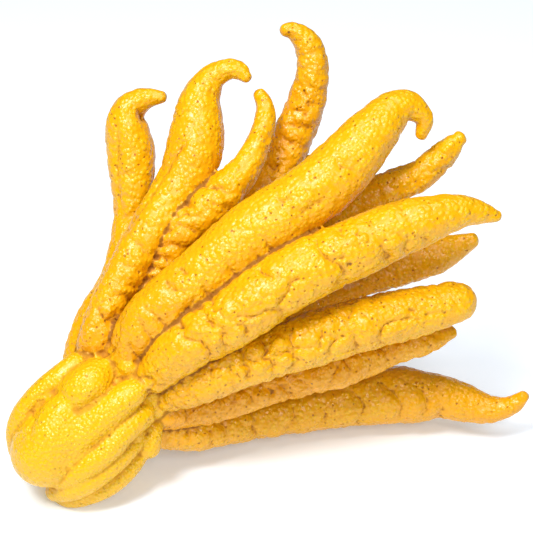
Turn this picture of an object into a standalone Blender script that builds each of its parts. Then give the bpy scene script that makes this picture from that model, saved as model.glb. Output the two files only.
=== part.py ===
"""Buddha's hand citron: one fruit that grew as one piece, lying on its bulb and two of its hidden fingers.

The fruit is laid out like a hand held up and leaned back. Every path below is given in the hand's own
frame, in millimetres: across (to the right), up (towards the fingertips), out (away from the back of the
hand) and the radius there. The hand is then leaned back and set down, so that +Z is up and the surface it
lies on is z = 0.
"""

import math

import bmesh
import bpy
from mathutils import Matrix, Vector

# Driving dimensions, in millimetres unless the name says otherwise
MM = 0.001
LEAN_BACK_DEGREES = 30.0  # how far the hand's plane leans back from upright
THROAT = (-53.0, -38.5, 46.5)  # where the fingers leave the bulb, in the part's frame
SKIN_VOXEL = 1.6  # grain of the skin that joins the fingers and the bulb
SKIN_SMOOTHING_STEPS = 3
SMOOTHING_ALLOWANCE = 0.4  # added to every radius, because smoothing takes it off again
SKIN_FACE_SHARE = 0.065  # share of the skin's faces that is kept
REST_CUTTER_SIZE = (300.0, 260.0, 40.0)

# The fingers that face forwards, from the left round to the right
FRONT_FINGERS = {
    "hooked_left": [
        (-26, 7, -6, 5.5), (-24, 14, -5, 6), (-18.5, 25, -8, 7), (-10.5, 38, -12, 7), (-6.5, 52, -16, 7),
        (-5, 66, -20, 7.2), (-4.5, 80, -20, 8.7), (-5, 92, -20, 9.7), (-6.5, 102, -18, 8.8),
        (-5.5, 108.5, -17, 7), (-1.5, 112.5, -16, 5.2), (3.5, 114.2, -15, 3.5), (8, 114.4, -14, 2.1),
    ],
    "broad_hooked": [
        (-19.5, 9, 1, 6.5), (-17.5, 16, 4, 7.1), (-13, 28, 4, 7.2), (-7.5, 39, 3, 7.8), (3, 58, 1, 8.4),
        (16, 79, -4, 10), (21, 90, -5, 11.2), (22.8, 100, -6, 10.5), (24, 112, -6, 8.3), (27, 119, -5, 6),
        (31, 123, -4, 4.7), (36, 124.7, -3, 3.8), (40, 123.6, -2, 3.4), (42.3, 121.3, -1, 2.2),
    ],
    "slim_curved": [
        (4, 36, 0, 5.5), (15, 57, 2, 7), (24, 66, 2, 7.8), (32, 73.3, 1, 7.8), (40, 82, -1, 6.6),
        (45, 90, -3, 5.3), (49.5, 102, -6, 4.2), (50, 110, -8, 3.5), (48, 115, -9, 2.4),
    ],
    "tall_hooked": [
        (12, 24, -14, 8), (40, 64, -22, 8.5), (55, 85, -24, 8), (62.5, 101.5, -23, 8),
        (66.7, 112, -22, 7.7), (69.2, 122, -21, 6.7), (69.4, 129, -20, 6.1), (67.9, 135.3, -19, 5.5),
        (64.9, 139.4, -18, 4.4), (61.2, 141.8, -17, 3.3), (58.4, 141.8, -16, 2.4),
    ],
    "thick_middle": [
        (-5.5, 10, 10, 6.3), (0.3, 20, 13, 9.4), (9.3, 29, 15, 10.6), (22.3, 39.5, 16, 11.1),
        (44.3, 57.5, 16, 12.6), (70.3, 75.5, 15, 12.4), (84.3, 88.5, 14, 11.6), (92.5, 98.5, 13, 9.9),
        (99.5, 106, 11, 8), (106, 108.8, 10, 6), (111, 106.3, 9, 4.3), (113.2, 102.8, 8, 3.4),
        (112, 97.8, 7, 2.2),
    ],
    "right_upper": [
        (16, 14, -6, 8), (48, 42, -12, 7.5), (81.7, 65.8, -10, 7), (100.3, 77.1, -7, 6.6),
        (110.4, 81, -6, 6), (117.4, 86.4, -5, 5.7), (123.4, 92.1, -4, 4.9), (127.9, 96.7, -3, 2.9),
    ],
    "long_lumpy": [
        (6.5, 3, 12, 7.5), (16.7, 12.8, 18, 10), (35.7, 24.5, 22, 11.4), (61.7, 41.5, 22, 12.1),
        (89.7, 54.5, 18, 11.4), (109.7, 62.5, 16, 9.8), (126, 66.8, 14, 6.7), (135, 66.5, 13, 4.4),
        (141, 65.3, 12, 2.3),
    ],
    "right_rear": [
        (20, 6, -6, 7), (52, 24, -13, 7), (84, 38, -18, 6.6), (105, 45, -20, 7.4), (117, 48.8, -20, 7.4),
        (126, 52.4, -19, 6.1), (134.3, 56, -17, 3.1),
    ],
    "blunt": [
        (12, -5, 3, 7), (24, 0, 7, 9), (44, 8, 9, 9.6), (74, 18, 6, 10.8), (100, 25, 3, 10.4),
        (118, 29, 1, 8.8), (127.2, 31.3, 0, 7.6),
    ],
    "right_lower": [
        (4, -14, -3, 6), (24, -12, -9, 7), (54, -3, -13, 7.2), (80, 4, -13, 7.8), (104, 12, -16, 6),
        (117, 15.6, -17, 5.1), (126, 18.5, -18, 2.5),
    ],
    "lowest_long": [
        (5, -22, -10, 6), (22, -22, -20, 8), (44, -18, -31, 8.5), (75, -13, -39, 10), (104, -9, -43, 12),
        (114, -9.2, -42.5, 11.4), (124, -9.5, -42, 9.2), (134, -12, -41, 7.9), (142.5, -14.2, -39, 6),
        (149, -14, -37, 4.6), (154.5, -11.6, -35, 3.4), (157.5, -8.8, -33, 2.3),
    ],
}

# The fingers behind them, which also carry the fruit
REAR_FINGERS = {
    "rear_lying_right": [
        (8, -12, -18, 8), (30, -12, -36, 8), (62, -8, -55, 9), (94, -8, -66, 8), (116, -9, -66, 6),
        (126, -6, -62, 2.2),
    ],
    "rear_lying_back": [
        (6, -4, -22, 9), (22, 0, -46, 9), (40, 6, -74, 9), (56, 11, -97, 8), (69, 15, -108, 5.5),
        (78, 22, -110, 2.2),
    ],
    "rear_level": [
        (8, 8, -18, 9), (30, 24, -38, 9), (58, 38, -56, 10), (84, 46, -66, 8), (104, 48, -66, 5),
        (115, 44, -60, 2.5),
    ],
    "rear_raised": [
        (0, 14, -18, 9), (18, 40, -38, 9), (38, 64, -50, 9), (54, 80, -52, 7), (66, 88, -48, 4.5),
        (73, 88, -42, 2.2),
    ],
    "rear_inner": [
        (-10, 10, -22, 9), (-8, 30, -44, 8), (2, 44, -66, 8), (13, 50, -84, 6), (21, 49, -94, 4),
        (26, 44, -99, 2.2),
    ],
}

# The folds of the bulb, which run from the throat round to the stem end
BULB_FOLDS = {
    "left_fold": [
        (-24.8, 6.6, 7, 4.7), (-30.8, 1.4, 8.3, 5), (-36.7, -3.4, 8.3, 5), (-42, -9, 7.3, 5),
        (-46, -14.5, 5, 5), (-48.5, -21, 2, 4.7), (-49.3, -28, -2, 3.6),
    ],
    "palm_top": [
        (-15.2, 4.4, 10.5, 6.2), (-18.3, 0, 13.5, 8), (-21.5, -3.8, 13.5, 8.6), (-24.5, -7, 11.5, 8.5),
    ],
    "palm": [(-29.5, -14.5, 11, 10.8), (-33, -20.5, 9.8, 12.5), (-37, -28, 6, 14.2)],
    "palm_bridge": [(-16, -12, 13.5, 6.5), (-23, -15, 12, 8.5), (-29, -20, 11, 11)],
    "second_fold": [
        (-1.4, -3.5, 14.3, 5.4), (-8.3, -8.6, 15, 6.3), (-15, -14.2, 14.5, 7.2), (-22, -21, 12, 8.6),
        (-27, -28, 8, 9.5),
    ],
    "third_fold": [
        (1.3, -13.5, 8, 5.1), (-5.3, -19, 12, 5.3), (-11.5, -25.4, 13.3, 5.4), (-17.8, -30.8, 12.8, 5.4),
        (-24, -35.5, 10.3, 5.2), (-30.5, -38.7, 6, 4.6),
    ],
    "fourth_fold": [
        (-1, -22.5, 5, 4.3), (-7.3, -29.3, 7.8, 4.6), (-13, -34.3, 9, 4.8), (-20, -39.3, 8.3, 4.8),
        (-27, -43, 4.6, 4.6), (-34, -44.6, -1, 3.8),
    ],
    "lowest_fold": [
        (-1.8, -31, 0, 4.2), (-6, -36, 1.5, 4.5), (-12.5, -41, 1.8, 4.8), (-20, -44.6, 0, 4.8),
        (-28, -46.6, -3.6, 4.7), (-33, -45.3, -9, 4.5),
    ],
    "right_knob": [(4.5, -20, 1, 4.4), (3, -26.3, 0, 5.2)],
    "under_fold": [(-2, -24, -18, 7), (-14, -34, -18, 8), (-28, -36, -17, 7.5), (-40, -33, -15, 5)],
    "back_fold": [(-6, -8, -26, 7), (-20, -20, -28, 8), (-34, -28, -22, 7), (-43, -28, -15, 5)],
    "back_left_fold": [(-16, 6, -18, 7), (-30, -4, -20, 8), (-41, -16, -16, 7), (-46, -25, -13, 5)],
}

# The small lobes that fill the throat between the roots of the fingers
THROAT_LOBES = {
    "middle_lobe": [(-7.2, 10.5, 9, 5.6), (-4.3, 6, 11, 5.4)],
    "inner_lobe": [(-9.3, 5, 9, 3.6), (-8.6, 0, 10.5, 3.6)],
    "right_lobe": [(1.6, 2, 8, 3.2), (3.6, -3, 6.5, 3.2)],
    "side_lobe": [(5.2, -7.5, 4, 3.8), (6.2, -11.5, 2, 3.8)],
}

# The solid flesh inside the bulb, and the web between the roots of the two thickest fingers
HEART = {
    "heart": [(-29, -23, -6, 17), (-14, -11, -6, 20), (2, 1, -7, 17), (18, 14, -11, 10)],
    "web": [(20, 20, 1, 8), (44, 38, 1, 8), (64, 50, -1, 7), (78, 58, -5, 5)],
}

SKIN_COLOUR = (0.93, 0.56, 0.03, 1.0)
SKIN_ROUGHNESS = 0.42


def clear_scene():
    for obj in list(bpy.data.objects):
        bpy.data.objects.remove(obj, do_unlink=True)


def hand_to_part():
    """The matrix from the hand's frame to the part's: across is +X, and the hand leans back about X."""
    across_up_out = Matrix(((1, 0, 0, 0), (0, 0, -1, 0), (0, 1, 0, 0), (0, 0, 0, 1)))
    lean = Matrix.Rotation(math.radians(-LEAN_BACK_DEGREES), 4, "X")
    return Matrix.Translation(Vector(THROAT)) @ lean @ across_up_out


def add_tube(curve, path):
    """Adds one round tube through the path's points. Its handles make the curve leave each point along the
    line that joins the point's two neighbours."""
    spline = curve.splines.new("BEZIER")
    spline.bezier_points.add(len(path) - 1)
    spline.radius_interpolation = "CARDINAL"
    centres = [Vector(point[:3]) for point in path]
    last = len(centres) - 1
    for index, knot in enumerate(spline.bezier_points):
        before = centres[max(index - 1, 0)]
        after = centres[min(index + 1, last)]
        reach = (after - before) / (6 if 0 < index < last else 3)
        knot.handle_left_type = "FREE"
        knot.handle_right_type = "FREE"
        knot.co = centres[index] * MM
        knot.handle_left = (centres[index] - reach) * MM
        knot.handle_right = (centres[index] + reach) * MM
        knot.radius = path[index][3] + SMOOTHING_ALLOWANCE


def tube_mesh(paths):
    """All the tubes as one mesh of overlapping closed shells, in the hand's frame."""
    curve = bpy.data.curves.new("tubes", "CURVE")
    curve.dimensions = "3D"
    curve.bevel_depth = MM
    curve.bevel_resolution = 4
    curve.resolution_u = 8
    curve.use_fill_caps = True
    for path in paths:
        add_tube(curve, path)
    guide = bpy.data.objects.new("tubes", curve)
    bpy.context.scene.collection.objects.link(guide)
    mesh = bpy.data.meshes.new_from_object(guide.evaluated_get(bpy.context.evaluated_depsgraph_get()))
    bpy.data.objects.remove(guide, do_unlink=True)
    return mesh


def add_round_ends(mesh, paths):
    """Closes both ends of every tube with a ball of the radius that the tube has there."""
    shells = bmesh.new()
    shells.from_mesh(mesh)
    for path in paths:
        for across, up, out, radius in (path[0], path[-1]):
            place = Matrix.Translation(Vector((across, up, out)) * MM)
            ball_radius = (radius + SMOOTHING_ALLOWANCE) * MM
            bmesh.ops.create_icosphere(shells, subdivisions=3, radius=ball_radius, matrix=place)
    shells.to_mesh(mesh)
    shells.free()


def skin_material():
    material = bpy.data.materials.new("citron_skin")
    material.use_nodes = True
    shader = material.node_tree.nodes["Principled BSDF"]
    shader.inputs["Base Color"].default_value = SKIN_COLOUR
    shader.inputs["Roughness"].default_value = SKIN_ROUGHNESS
    shader.inputs["Metallic"].default_value = 0.0
    return material


def rest_cutter():
    """The space under the surface that the fruit lies on: its top is z = 0."""
    width, depth, height = (side * MM for side in REST_CUTTER_SIZE)
    bpy.ops.mesh.primitive_cube_add(size=1.0, location=(0, 0, -height / 2))
    cutter = bpy.context.active_object
    cutter.name = "rest_cutter"
    cutter.scale = (width, depth, height)
    cutter.hide_render = True
    cutter.display_type = "WIRE"
    return cutter


def add_skin(fruit):
    """One closed skin over every tube, smoothed and thinned out, with small flats where the fruit rests."""
    remesh = fruit.modifiers.new("skin", "REMESH")
    remesh.mode = "VOXEL"
    remesh.voxel_size = SKIN_VOXEL * MM
    smooth = fruit.modifiers.new("soften", "SMOOTH")
    smooth.factor = 0.5
    smooth.iterations = SKIN_SMOOTHING_STEPS
    thin = fruit.modifiers.new("thin_out", "DECIMATE")
    thin.ratio = SKIN_FACE_SHARE
    flats = fruit.modifiers.new("resting_flats", "BOOLEAN")
    flats.operation = "DIFFERENCE"
    flats.solver = "EXACT"
    flats.object = rest_cutter()


def build_citron():
    parts = (FRONT_FINGERS, REAR_FINGERS, BULB_FOLDS, THROAT_LOBES, HEART)
    paths = [path for part in parts for path in part.values()]
    mesh = tube_mesh(paths)
    add_round_ends(mesh, paths)
    place = Matrix.Scale(MM, 4) @ hand_to_part() @ Matrix.Scale(1 / MM, 4)
    mesh.transform(place)
    mesh.name = "citron"
    mesh.materials.append(skin_material())
    fruit = bpy.data.objects.new("citron", mesh)
    bpy.context.scene.collection.objects.link(fruit)
    add_skin(fruit)
    return fruit


clear_scene()
build_citron()
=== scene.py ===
# %% [markdown]
# # A buddha's hand citron
#
# A buddha's hand is a citron whose segments grow apart into fingers. It has one smooth, folded bulb at the stem
# end, a throat where the folds turn into fingers, and a fan of long fingers with hooked tips and a lumpy rind.
# It grew as one piece, so it ends up as one closed mesh here. The imported model is loaded first: it fixes the
# size and the place of everything.

# %% Load the imported model
import math
from itertools import product

import bpy
import numpy as np
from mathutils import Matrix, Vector


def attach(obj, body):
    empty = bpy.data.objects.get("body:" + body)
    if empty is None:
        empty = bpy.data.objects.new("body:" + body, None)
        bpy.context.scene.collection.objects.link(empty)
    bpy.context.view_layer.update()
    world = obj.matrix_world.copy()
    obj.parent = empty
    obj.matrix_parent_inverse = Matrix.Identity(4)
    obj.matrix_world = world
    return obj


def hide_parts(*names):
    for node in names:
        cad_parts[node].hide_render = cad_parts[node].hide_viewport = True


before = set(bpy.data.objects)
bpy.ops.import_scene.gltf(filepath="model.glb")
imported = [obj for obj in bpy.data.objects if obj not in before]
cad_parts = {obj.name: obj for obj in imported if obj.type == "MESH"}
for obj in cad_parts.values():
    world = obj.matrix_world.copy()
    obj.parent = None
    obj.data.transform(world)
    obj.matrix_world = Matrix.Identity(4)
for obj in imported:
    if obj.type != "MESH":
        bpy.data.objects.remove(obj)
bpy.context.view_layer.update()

# %% [markdown]
# ## The hand's own frame
#
# The fruit is easiest to draw as a hand held up flat: across to the right, up towards the fingertips and out
# towards the viewer, in millimetres. The real fruit lies on its bulb and leans back, so one turn about X and one
# move take every point from the hand's frame to the part's frame in metres.

# %% Frame of the hand
MM = 0.001
LEAN_BACK = math.radians(30)
THROAT = np.array([-53.0, -38.5, 46.5])  # where the fingers leave the bulb, in the part's frame, mm


def to_part(points):
    """Turns hand points (across, up, out) in mm into part points in metres: up and out turn about X by the lean,
    then everything moves to the throat."""
    across, up, out = points[..., 0], points[..., 1], points[..., 2]
    back = up * math.sin(LEAN_BACK) - out * math.cos(LEAN_BACK)
    height = up * math.cos(LEAN_BACK) + out * math.sin(LEAN_BACK)
    return (np.stack([across, back, height], axis=-1) + THROAT) * MM


# %% [markdown]
# ## Where the fingers and the folds run
#
# Each finger is one path of a few points: across, up, out and the radius there. The same points shape the packed
# solid, so the rind lies exactly on it.

# %% Paths of the fingers
FRONT_FINGERS = {
    "hooked_left": [
        (-26, 7, -6, 5.5), (-24, 14, -5, 6), (-18.5, 25, -8, 7), (-10.5, 38, -12, 7), (-6.5, 52, -16, 7),
        (-5, 66, -20, 7.2), (-4.5, 80, -20, 8.7), (-5, 92, -20, 9.7), (-6.5, 102, -18, 8.8), (-5.5, 108.5, -17, 7),
        (-1.5, 112.5, -16, 5.2), (3.5, 114.2, -15, 3.5), (8, 114.4, -14, 2.1),
    ],
    "broad_hooked": [
        (-19.5, 9, 1, 6.5), (-17.5, 16, 4, 7.1), (-13, 28, 4, 7.2), (-7.5, 39, 3, 7.8), (3, 58, 1, 8.4),
        (16, 79, -4, 10), (21, 90, -5, 11.2), (22.8, 100, -6, 10.5), (24, 112, -6, 8.3), (27, 119, -5, 6),
        (31, 123, -4, 4.7), (36, 124.7, -3, 3.8), (40, 123.6, -2, 3.4), (42.3, 121.3, -1, 2.2),
    ],
    "slim_curved": [
        (4, 36, 0, 5.5), (15, 57, 2, 7), (24, 66, 2, 7.8), (32, 73.3, 1, 7.8), (40, 82, -1, 6.6),
        (45, 90, -3, 5.3), (49.5, 102, -6, 4.2), (50, 110, -8, 3.5), (48, 115, -9, 2.4),
    ],
    "tall_hooked": [
        (12, 24, -14, 8), (40, 64, -22, 8.5), (55, 85, -24, 8), (62.5, 101.5, -23, 8), (66.7, 112, -22, 7.7),
        (69.2, 122, -21, 6.7), (69.4, 129, -20, 6.1), (67.9, 135.3, -19, 5.5), (64.9, 139.4, -18, 4.4),
        (61.2, 141.8, -17, 3.3), (58.4, 141.8, -16, 2.4),
    ],
    "thick_middle": [
        (-5.5, 10, 10, 6.3), (0.3, 20, 13, 9.4), (9.3, 29, 15, 10.6), (22.3, 39.5, 16, 11.1),
        (44.3, 57.5, 16, 12.6), (70.3, 75.5, 15, 12.4), (84.3, 88.5, 14, 11.6), (92.5, 98.5, 13, 9.9),
        (99.5, 106, 11, 8), (106, 108.8, 10, 6), (111, 106.3, 9, 4.3), (113.2, 102.8, 8, 3.4), (112, 97.8, 7, 2.2),
    ],
    "right_upper": [
        (16, 14, -6, 8), (48, 42, -12, 7.5), (81.7, 65.8, -10, 7), (100.3, 77.1, -7, 6.6), (110.4, 81, -6, 6),
        (117.4, 86.4, -5, 5.7), (123.4, 92.1, -4, 4.9), (127.9, 96.7, -3, 2.9),
    ],
    "long_lumpy": [
        (6.5, 3, 12, 7.5), (16.7, 12.8, 18, 10), (35.7, 24.5, 22, 11.4), (61.7, 41.5, 22, 12.1),
        (89.7, 54.5, 18, 11.4), (109.7, 62.5, 16, 9.8), (126, 66.8, 14, 6.7), (135, 66.5, 13, 4.4),
        (141, 65.3, 12, 2.3),
    ],
    "right_rear": [
        (20, 6, -6, 7), (52, 24, -13, 7), (84, 38, -18, 6.6), (105, 45, -20, 7.4), (117, 48.8, -20, 7.4),
        (126, 52.4, -19, 6.1), (134.3, 56, -17, 3.1),
    ],
    "blunt": [
        (12, -5, 3, 7), (24, 0, 7, 9), (44, 8, 9, 9.6), (74, 18, 6, 10.8), (100, 25, 3, 10.4), (118, 29, 1, 8.8),
        (127.2, 31.3, 0, 7.6),
    ],
    "right_lower": [
        (4, -14, -3, 6), (24, -12, -9, 7), (54, -3, -13, 7.2), (80, 4, -13, 7.8), (104, 12, -16, 6),
        (117, 15.6, -17, 5.1), (126, 18.5, -18, 2.5),
    ],
    "lowest_long": [
        (5, -22, -10, 6), (22, -22, -20, 8), (44, -18, -31, 8.5), (75, -13, -39, 10), (104, -9, -43, 12),
        (114, -9.2, -42.5, 11.4), (124, -9.5, -42, 9.2), (134, -12, -41, 7.9), (142.5, -14.2, -39, 6),
        (149, -14, -37, 4.6), (154.5, -11.6, -35, 3.4), (157.5, -8.8, -33, 2.3),
    ],
}
REAR_FINGERS = {
    "rear_lying_right": [
        (8, -12, -18, 8), (30, -12, -36, 8), (62, -8, -55, 9), (94, -8, -66, 8), (116, -9, -66, 6),
        (126, -6, -62, 2.2),
    ],
    "rear_lying_back": [
        (6, -4, -22, 9), (22, 0, -46, 9), (40, 6, -74, 9), (56, 11, -97, 8), (69, 15, -108, 5.5),
        (78, 22, -110, 2.2),
    ],
    "rear_level": [
        (8, 8, -18, 9), (30, 24, -38, 9), (58, 38, -56, 10), (84, 46, -66, 8), (104, 48, -66, 5),
        (115, 44, -60, 2.5),
    ],
    "rear_raised": [
        (0, 14, -18, 9), (18, 40, -38, 9), (38, 64, -50, 9), (54, 80, -52, 7), (66, 88, -48, 4.5),
        (73, 88, -42, 2.2),
    ],
    "rear_inner": [
        (-10, 10, -22, 9), (-8, 30, -44, 8), (2, 44, -66, 8), (13, 50, -84, 6), (21, 49, -94, 4),
        (26, 44, -99, 2.2),
    ],
}
BULB_FOLDS = {
    "left_fold": [
        (-24.8, 6.6, 7, 4.7), (-30.8, 1.4, 8.3, 5), (-36.7, -3.4, 8.3, 5), (-42, -9, 7.3, 5), (-46, -14.5, 5, 5),
        (-48.5, -21, 2, 4.7), (-49.3, -28, -2, 3.6),
    ],
    "palm_top": [
        (-15.2, 4.4, 10.5, 6.2), (-18.3, 0, 13.5, 8), (-21.5, -3.8, 13.5, 8.6), (-24.5, -7, 11.5, 8.5),
    ],
    "palm": [(-29.5, -14.5, 11, 10.8), (-33, -20.5, 9.8, 12.5), (-37, -28, 6, 14.2)],
    "palm_bridge": [(-16, -12, 13.5, 6.5), (-23, -15, 12, 8.5), (-29, -20, 11, 11)],
    "second_fold": [
        (-1.4, -3.5, 14.3, 5.4), (-8.3, -8.6, 15, 6.3), (-15, -14.2, 14.5, 7.2), (-22, -21, 12, 8.6),
        (-27, -28, 8, 9.5),
    ],
    "third_fold": [
        (1.3, -13.5, 8, 5.1), (-5.3, -19, 12, 5.3), (-11.5, -25.4, 13.3, 5.4), (-17.8, -30.8, 12.8, 5.4),
        (-24, -35.5, 10.3, 5.2), (-30.5, -38.7, 6, 4.6),
    ],
    "fourth_fold": [
        (-1, -22.5, 5, 4.3), (-7.3, -29.3, 7.8, 4.6), (-13, -34.3, 9, 4.8), (-20, -39.3, 8.3, 4.8),
        (-27, -43, 4.6, 4.6), (-34, -44.6, -1, 3.8),
    ],
    "lowest_fold": [
        (-1.8, -31, 0, 4.2), (-6, -36, 1.5, 4.5), (-12.5, -41, 1.8, 4.8), (-20, -44.6, 0, 4.8),
        (-28, -46.6, -3.6, 4.7), (-33, -45.3, -9, 4.5),
    ],
    "right_knob": [(4.5, -20, 1, 4.4), (3, -26.3, 0, 5.2)],
    "under_fold": [(-2, -24, -18, 7), (-14, -34, -18, 8), (-28, -36, -17, 7.5), (-40, -33, -15, 5)],
    "back_fold": [(-6, -8, -26, 7), (-20, -20, -28, 8), (-34, -28, -22, 7), (-43, -28, -15, 5)],
    "back_left_fold": [(-16, 6, -18, 7), (-30, -4, -20, 8), (-41, -16, -16, 7), (-46, -25, -13, 5)],
}
THROAT_LOBES = {
    "middle_lobe": [(-7.2, 10.5, 9, 5.6), (-4.3, 6, 11, 5.4)],
    "inner_lobe": [(-9.3, 5, 9, 3.6), (-8.6, 0, 10.5, 3.6)],
    "right_lobe": [(1.6, 2, 8, 3.2), (3.6, -3, 6.5, 3.2)],
    "side_lobe": [(5.2, -7.5, 4, 3.8), (6.2, -11.5, 2, 3.8)],
}
HEART = {
    "heart": [(-29, -23, -6, 17), (-14, -11, -6, 20), (2, 1, -7, 17), (18, 14, -11, 10)],
    "web": [(20, 20, 1, 8), (44, 38, 1, 8), (64, 50, -1, 7), (78, 58, -5, 5)],
}
print(len(FRONT_FINGERS) + len(REAR_FINGERS), "fingers and", len(BULB_FOLDS), "folds")

# %% [markdown]
# ## A smooth line through a few points
#
# A Catmull-Rom spline passes through every point and leaves each one in the direction that joins its two
# neighbours. It needs no handles, and the radius can ride along as a fourth coordinate.

# %% Spline helper


def smooth_line(path, spacing):
    """Points along a Catmull-Rom spline, even in arc length. Each span is the cubic with the span's two ends and,
    at each end, the slope half of (next point minus previous point)."""
    knots = np.array(path, float)
    slopes = np.empty_like(knots)
    slopes[1:-1] = (knots[2:] - knots[:-2]) / 2
    slopes[0] = knots[1] - knots[0]
    slopes[-1] = knots[-1] - knots[-2]
    t = np.linspace(0, 1, 40, endpoint=False)[None, :, None]
    start, end = knots[:-1, None], knots[1:, None]
    start_slope, end_slope = slopes[:-1, None], slopes[1:, None]
    spans = (
        (2 * t**3 - 3 * t**2 + 1) * start + (t**3 - 2 * t**2 + t) * start_slope
        + (3 * t**2 - 2 * t**3) * end + (t**3 - t**2) * end_slope
    )
    line = np.concatenate([spans.reshape(-1, knots.shape[1]), knots[-1:]])
    travelled = np.concatenate([[0], np.cumsum(np.linalg.norm(np.diff(line[:, :3], axis=0), axis=1))])
    steps = np.linspace(0, travelled[-1], max(4, round(travelled[-1] / spacing)) + 1)
    even = np.stack([np.interp(steps, travelled, column) for column in line.T], axis=1)
    return even, steps


# %% [markdown]
# ## Uneven rind: hashes, noise and cells
#
# The rind's lumps have no pattern, but the same fruit has to come out each run. A hash turns whole numbers into
# fixed random ones. Value noise blends hashed corner values. Cells are jittered points on a grid: the gap
# between the distances to the nearest and the second nearest point is zero along a crease and grows into a lump.

# %% Noise helpers


def hashed(seed, *whole):
    """One fixed random number from 0 to 1 for each set of whole numbers: multiply by large primes, mix the bits."""
    mixed = np.full(whole[0].shape, seed * 2246822519 & 0xFFFFFFFF, np.uint64)
    for prime, number in zip((374761393, 668265263, 1274126177), whole):
        mixed = (mixed + number.astype(np.int64).astype(np.uint64) * np.uint64(prime)) & np.uint64(0xFFFFFFFF)
        mixed = ((mixed ^ (mixed >> np.uint64(13))) * np.uint64(1103515245)) & np.uint64(0xFFFFFFFF)
    mixed ^= mixed >> np.uint64(16)
    return mixed.astype(np.float64) / 0xFFFFFFFF


def value_noise(points, size, seed):
    """Smooth noise from -1 to 1: the eight corners of each cube of the given size hold hashed values, blended with
    the curve 3f^2 - 2f^3 on each axis."""
    scaled = points / size
    corner = np.floor(scaled)
    f = scaled - corner
    f = f * f * (3 - 2 * f)
    total = np.zeros(points.shape[:-1])
    for step in product((0, 1), repeat=3):
        weight = np.where(step, f, 1 - f).prod(axis=-1)
        total += weight * hashed(seed, *np.moveaxis(corner + step, -1, 0))
    return total * 2 - 1


def crease_distance(distances):
    """The second smallest of many distances minus the smallest one."""
    nearest = second = np.inf
    for distance in distances:
        second = np.minimum(second, np.maximum(nearest, distance))
        nearest = np.minimum(nearest, distance)
    return second - nearest


def cells_around(along, around, count_around, seed, jitter=0.85):
    """Crease distance on a tube. Points sit one to each square of the (along, around) grid, moved by up to half the
    jitter; around repeats after count_around squares."""
    def distances():
        for du, dv in product((-1, 0, 1), repeat=2):
            cell_u, cell_v = np.floor(along) + du, np.floor(around) + dv
            wrapped = np.mod(cell_v, count_around)
            point_u = cell_u + 0.5 + (hashed(seed, cell_u, wrapped) - 0.5) * jitter
            point_v = cell_v + 0.5 + (hashed(seed + 1, cell_u, wrapped) - 0.5) * jitter
            yield np.hypot(along - point_u, around - point_v)
    return crease_distance(distances())


def cells_in_space(points, size, seed):
    """Crease distance for points in space, with one hashed point to each cube of the given size."""
    def distances():
        for step in product((-1, 0, 1), repeat=3):
            cell = np.floor(points / size) + step
            corner = np.moveaxis(cell, -1, 0)
            moved = np.stack([hashed(seed + axis, *corner) for axis in range(3)], -1)
            yield np.linalg.norm(points / size - (cell + moved), axis=-1)
    return crease_distance(distances())


# %% [markdown]
# ## One finger
#
# A finger is a round profile carried along its path. Pillows, creases between them and fine wrinkles change its
# radius before each point is placed, so they follow the finger round its bends. Each end closes with a rounded cap.

# %% Rind of one finger
GRID_STEP = 0.7  # mm between the points of a finger's surface
ALLOWANCE = 0.4  # mm added to each radius, which the smoothing later takes away
PILLOW_EDGE = 0.22  # share of a pillow's width that slopes into the crease
PILLOW_MEAN = 0.62  # taken off, so that the pillows leave a finger its mean radius

# name: (pillow height mm, pillow length mm, pillows around, wrinkle height mm, wrinkle length mm, cobble height mm
# at the root and at the tip, orange tint with painted shade at the root, in the middle and at the tip)
FINGER_RIND = {
    "hooked_left": (0.3, 9, 5, 0.12, 3.0, (0.15, 0.12), (0.4, 0.15, 0.15)),
    "broad_hooked": (0.35, 9, 5, 0.3, 2.6, (0.22, 0.14), (0.5, 0.2, 0.15)),
    "slim_curved": (0.45, 8, 4, 0.25, 3.6, (0.25, 0.16), (0.6, 0.15, 0.2)),
    "tall_hooked": (0.55, 8, 4, 0.12, 3.0, (0.4, 0.25), (0.4, 0.55, 0.35)),
    "thick_middle": (0.3, 11, 5, 0.12, 3.4, (0.18, 0.14), (0.5, 0.05, 0.1)),
    "right_upper": (0.6, 9, 4, 0.2, 2.6, (0.26, 0.2), (0.45, 0.2, 0.1)),
    "long_lumpy": (0.3, 12, 4, 0.1, 3.0, (0.42, 0.22), (0.25, 0.05, 0.2)),
    "right_rear": (0.4, 9, 4, 0.3, 2.3, (0.16, 0.14), (0.6, 0.55, 0.2)),
    "blunt": (0.3, 10, 4, 0.12, 2.6, (0.65, 0.4), (0.3, 0.1, 0.1)),
    "right_lower": (0.3, 9, 4, 0.1, 3.0, (0.6, 0.36), (1.0, 1.0, 0.5)),
    "lowest_long": (0.3, 11, 4, 0.16, 2.6, (0.36, 0.22), (0.4, 0.3, 1.0)),
}
REAR_PILLOWS = {
    "rear_lying_right": (0.9, 10, 4, 0.12), "rear_lying_back": (1.0, 11, 4, 0.12), "rear_level": (1.0, 11, 4, 0.12),
    "rear_raised": (0.8, 10, 4, 0.14), "rear_inner": (0.8, 10, 4, 0.14),
}
FINGER_RIND |= {name: (*first, 3.0, (0.45, 0.30), (0.5, 0.3, 0.3)) for name, first in REAR_PILLOWS.items()}


def directions_of(line):
    """Unit direction of travel at each point of a line."""
    tangent = np.gradient(line[:, :3], axis=0)
    return tangent / np.linalg.norm(tangent, axis=1, keepdims=True)


def side_directions(line, reference):
    """Two unit directions across the path at each point: the reference made square to the path, and the one square
    to both."""
    tangent = directions_of(line)
    first = reference - (tangent @ reference)[:, None] * tangent
    first /= np.linalg.norm(first, axis=1, keepdims=True)
    return first, np.cross(tangent, first)


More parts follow.
